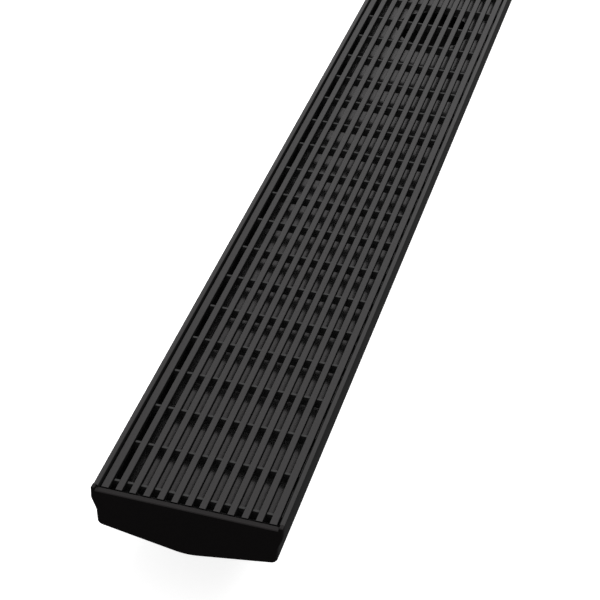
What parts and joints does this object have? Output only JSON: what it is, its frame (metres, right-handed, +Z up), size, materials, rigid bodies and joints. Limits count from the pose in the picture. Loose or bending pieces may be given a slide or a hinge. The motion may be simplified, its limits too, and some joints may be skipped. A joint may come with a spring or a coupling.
{
  "type": "channel drain",
  "caption": "Black linear channel drain with a heelguard bar grate over a shallow V-floored trough, capped at both ends and emptied by a round outlet.",
  "frame": {"origin": "middle of the outlet spigot's lower end", "axes": "+X across the drain, +Y along it, +Z up out of the grate"},
  "size_m": [0.1, 1.128, 0.07],
  "materials": {
    "channel_coating": "satin black powder coat on an aluminium extrusion",
    "grate_coating": "satin black powder coat on flat aluminium bars",
    "rod_coating": "satin black powder coat on notched aluminium strip",
    "cap_plastic": "moulded black plastic, smooth",
    "outlet_plastic": "moulded black plastic, smooth"
  },
  "bodies": {
    "root": {"channel": "channel_coating", "outlet_spigot": "outlet_plastic", "end_cap_front": "cap_plastic", "end_cap_rear": "cap_plastic", "grate_bar_01": "grate_coating", "grate_bar_02": "grate_coating", "grate_bar_03": "grate_coating", "grate_bar_04": "grate_coating", "grate_bar_05": "grate_coating", "grate_bar_06": "grate_coating", "grate_bar_07": "grate_coating", "grate_bar_08": "grate_coating", "grate_bar_09": "grate_coating", "grate_bar_10": "grate_coating", "grate_bar_11": "grate_coating", "grate_bar_12": "grate_coating", "grate_bar_13": "grate_coating", "cross_rod_01": "rod_coating", "cross_rod_02": "rod_coating", "cross_rod_03": "rod_coating", "cross_rod_04": "rod_coating", "cross_rod_05": "rod_coating", "cross_rod_06": "rod_coating", "cross_rod_07": "rod_coating", "cross_rod_08": "rod_coating", "cross_rod_09": "rod_coating", "cross_rod_10": "rod_coating", "cross_rod_11": "rod_coating", "cross_rod_12": "rod_coating", "cross_rod_13": "rod_coating", "cross_rod_14": "rod_coating", "cross_rod_15": "rod_coating", "cross_rod_16": "rod_coating", "cross_rod_17": "rod_coating", "cross_rod_18": "rod_coating", "cross_rod_19": "rod_coating", "cross_rod_20": "rod_coating", "cross_rod_21": "rod_coating", "cross_rod_22": "rod_coating", "cross_rod_23": "rod_coating", "cross_rod_24": "rod_coating", "cross_rod_25": "rod_coating", "cross_rod_26": "rod_coating", "cross_rod_27": "rod_coating", "cross_rod_28": "rod_coating", "cross_rod_29": "rod_coating", "cross_rod_30": "rod_coating", "cross_rod_31": "rod_coating", "cross_rod_32": "rod_coating", "cross_rod_33": "rod_coating", "cross_rod_34": "rod_coating", "cross_rod_35": "rod_coating", "cross_rod_36": "rod_coating", "cross_rod_37": "rod_coating"}
  },
  "joints": []
}
